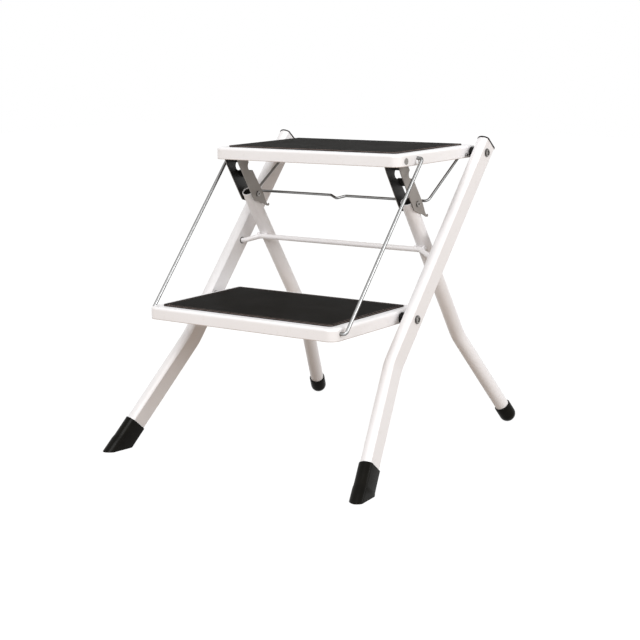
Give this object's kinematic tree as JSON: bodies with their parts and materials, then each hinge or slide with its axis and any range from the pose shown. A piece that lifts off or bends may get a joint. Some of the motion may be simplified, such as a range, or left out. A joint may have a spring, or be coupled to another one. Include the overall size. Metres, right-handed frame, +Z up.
{
  "type": "folding step stool",
  "caption": "Two-step folding stool: crossing splayed D-tube legs, pressed trays with rubber mats, strut channels, link wires and a latch wire.",
  "frame": {"origin": "the floor under the middle of the footprint, with the stool unfolded", "axes": "+X to the right seen from the front, +Y to the back (the climber faces +Y), +Z up"},
  "size_m": [0.4818, 0.5078, 0.4626],
  "materials": {
    "white_coat": "white powder coat with a soft sheen",
    "zinc_strut": "dull grey-brown zinc plate",
    "bright_wire": "bright zinc-plated wire",
    "rivet_steel": "plated rivet steel",
    "black_plastic": "black moulded plastic",
    "boot_rubber": "smooth black rubber with a slight shine",
    "mat_rubber": "fine-grained black rubber sheet"
  },
  "bodies": {
    "front_frame": {"front_leg_left": "white_coat", "front_leg_right": "white_coat", "front_plug_left": "black_plastic", "front_plug_right": "black_plastic", "front_foot_left": "boot_rubber", "front_foot_right": "boot_rubber", "top_step_rivet_left": "rivet_steel", "top_step_rivet_right": "rivet_steel", "lower_step_rivet_left": "rivet_steel", "lower_step_rivet_right": "rivet_steel", "top_spacer_left": "black_plastic", "top_spacer_right": "black_plastic", "lower_spacer_left": "black_plastic", "lower_spacer_right": "black_plastic"},
    "rear_frame": {"rear_leg_left": "white_coat", "rear_leg_right": "white_coat", "rear_plug_left": "black_plastic", "rear_plug_right": "black_plastic", "rear_foot_left": "boot_rubber", "rear_foot_right": "boot_rubber", "knee_sleeve_left": "rivet_steel", "knee_sleeve_right": "rivet_steel", "cross_rod": "white_coat"},
    "top_step": {"top_tray": "white_coat", "top_mat": "mat_rubber", "strut_rivet_left": "rivet_steel", "strut_rivet_right": "rivet_steel"},
    "lower_step": {"lower_tray": "white_coat", "lower_mat": "mat_rubber"},
    "left_strut": {"strut_left": "zinc_strut", "knee_rivet_left": "rivet_steel"},
    "right_strut": {"strut_right": "zinc_strut", "knee_rivet_right": "rivet_steel"},
    "left_link": {"link_wire_left": "bright_wire"},
    "right_link": {"link_wire_right": "bright_wire"},
    "latch": {"latch_wire": "bright_wire"}
  },
  "joints": [
    {"name": "rear_frame_fold", "type": "hinge", "parent": "front_frame", "child": "rear_frame", "pos_m": [0, 0.02846, 0.2938], "axis": [1, 0, 0], "range_deg": [-73, 0]},
    {"name": "top_step_fold", "type": "hinge", "parent": "front_frame", "child": "top_step", "pos_m": [0, 0.15426, 0.4375], "axis": [1, 0, 0], "range_deg": [0, 43]},
    {"name": "lower_step_fold", "type": "hinge", "parent": "front_frame", "child": "lower_step", "pos_m": [0, -0.04184, 0.2135], "axis": [1, 0, 0], "range_deg": [0, 43]},
    {"name": "left_strut_fold", "type": "hinge", "parent": "top_step", "child": "left_strut", "pos_m": [-0.1485, -0.02744, 0.4375], "axis": [1, 0, 0], "range_deg": [0, 20]},
    {"name": "right_strut_fold", "type": "hinge", "parent": "top_step", "child": "right_strut", "pos_m": [0.1485, -0.02744, 0.4375], "axis": [1, 0, 0], "range_deg": [0, 20]},
    {"name": "left_link_fold", "type": "hinge", "parent": "top_step", "child": "left_link", "pos_m": [-0.1745, 0.00226, 0.44], "axis": [1, 0, 0], "range_deg": [-43, 0]},
    {"name": "right_link_fold", "type": "hinge", "parent": "top_step", "child": "right_link", "pos_m": [0.179, 0.00226, 0.44], "axis": [1, 0, 0], "range_deg": [-43, 0]},
    {"name": "latch_fold", "type": "hinge", "parent": "top_step", "child": "latch", "pos_m": [0, 0.13736, 0.4346], "axis": [1, 0, 0], "range_deg": [0, 42]}
  ],
  "couplings": [
    {"joint": "top_step_fold", "follows": "rear_frame_fold", "ratio": -0.58904},
    {"joint": "lower_step_fold", "follows": "rear_frame_fold", "ratio": -0.58904},
    {"joint": "left_strut_fold", "follows": "rear_frame_fold", "ratio": -0.27397},
    {"joint": "right_strut_fold", "follows": "rear_frame_fold", "ratio": -0.27397},
    {"joint": "left_link_fold", "follows": "rear_frame_fold", "ratio": 0.58904},
    {"joint": "right_link_fold", "follows": "rear_frame_fold", "ratio": 0.58904},
    {"joint": "latch_fold", "follows": "rear_frame_fold", "ratio": -0.57534}
  ]
}
